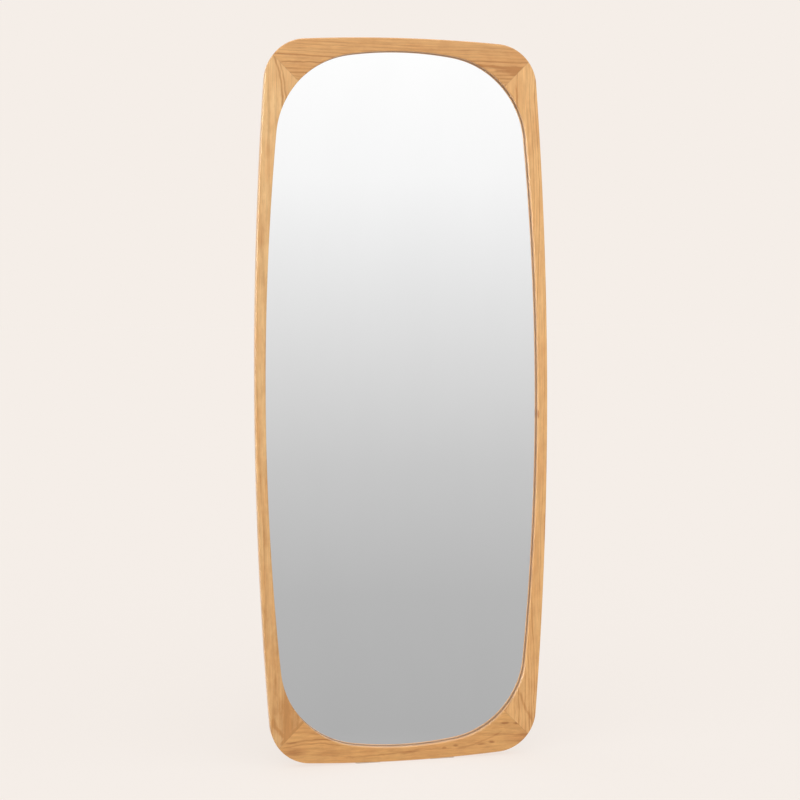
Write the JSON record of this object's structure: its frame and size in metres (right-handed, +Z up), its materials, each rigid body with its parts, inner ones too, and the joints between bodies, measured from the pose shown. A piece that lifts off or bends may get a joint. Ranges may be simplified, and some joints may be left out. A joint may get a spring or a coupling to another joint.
{
  "type": "framed floor mirror",
  "caption": "Full-length mirror with softly bulging sides in a mitred solid wood frame, to lean on a wall or hang by D-rings.",
  "frame": {"origin": "on the floor under the middle of the mirror's overall box", "axes": "+Z up, the glass faces -Y, +X to the right of someone looking into the mirror"},
  "size_m": [0.7, 0.038, 1.7007],
  "materials": {
    "wood_top_rail": "satin oiled honey-brown hardwood, grain along the member",
    "wood_bottom_rail": "satin oiled honey-brown hardwood, grain along the member",
    "wood_left_stile": "satin oiled honey-brown hardwood, grain along the member",
    "wood_right_stile": "satin oiled honey-brown hardwood, grain along the member",
    "tenon_beech": "compressed beech, fluted",
    "mirror_glass": "silvered clear glass",
    "safety_film": "thin woven-look film",
    "glazing_tape": "matte closed-cell foam",
    "foam_strip": "matte closed-cell foam",
    "packing_rubber": "matte",
    "fibreboard": "smooth brown hardboard",
    "zinc_screw": "bright zinc plate",
    "hanger_nickel": "satin nickel plate",
    "ring_nickel": "bright nickel plate",
    "bumper_felt": "dense felt",
    "pad_rubber": "clear moulded rubber, matte"
  },
  "bodies": {
    "mirror": {"top_rail": "wood_top_rail", "bottom_rail": "wood_bottom_rail", "left_stile": "wood_left_stile", "right_stile": "wood_right_stile", "tenons_bottom_left": "tenon_beech", "tenons_bottom_right": "tenon_beech", "tenons_top_left": "tenon_beech", "tenons_top_right": "tenon_beech", "mirror_glass": "mirror_glass", "safety_film": "safety_film", "glazing_tape": "glazing_tape", "foam_strip": "foam_strip", "setting_blocks": "packing_rubber", "edge_spacers": "packing_rubber", "back_panel": "fibreboard", "panel_screws": "zinc_screw", "hanger_strap_left": "hanger_nickel", "hanger_strap_right": "hanger_nickel", "hanger_screws_left": "zinc_screw", "hanger_screws_right": "zinc_screw", "wall_bumper_bottom_left": "bumper_felt", "wall_bumper_bottom_right": "bumper_felt", "wall_bumper_top_left": "bumper_felt", "wall_bumper_top_right": "bumper_felt", "floor_pad_left": "pad_rubber", "floor_pad_right": "pad_rubber"},
    "ring_left": {"hanger_ring_left": "ring_nickel"},
    "ring_right": {"hanger_ring_right": "ring_nickel"}
  },
  "joints": [
    {"name": "hanger_ring_left_swing", "type": "hinge", "parent": "mirror", "child": "ring_left", "pos_m": [-0.306, 0.01448, 1.5888], "axis": [1, 0, 0], "range_deg": [0, 183]},
    {"name": "hanger_ring_right_swing", "type": "hinge", "parent": "mirror", "child": "ring_right", "pos_m": [0.306, 0.01448, 1.5888], "axis": [1, 0, 0], "range_deg": [0, 183]}
  ]
}
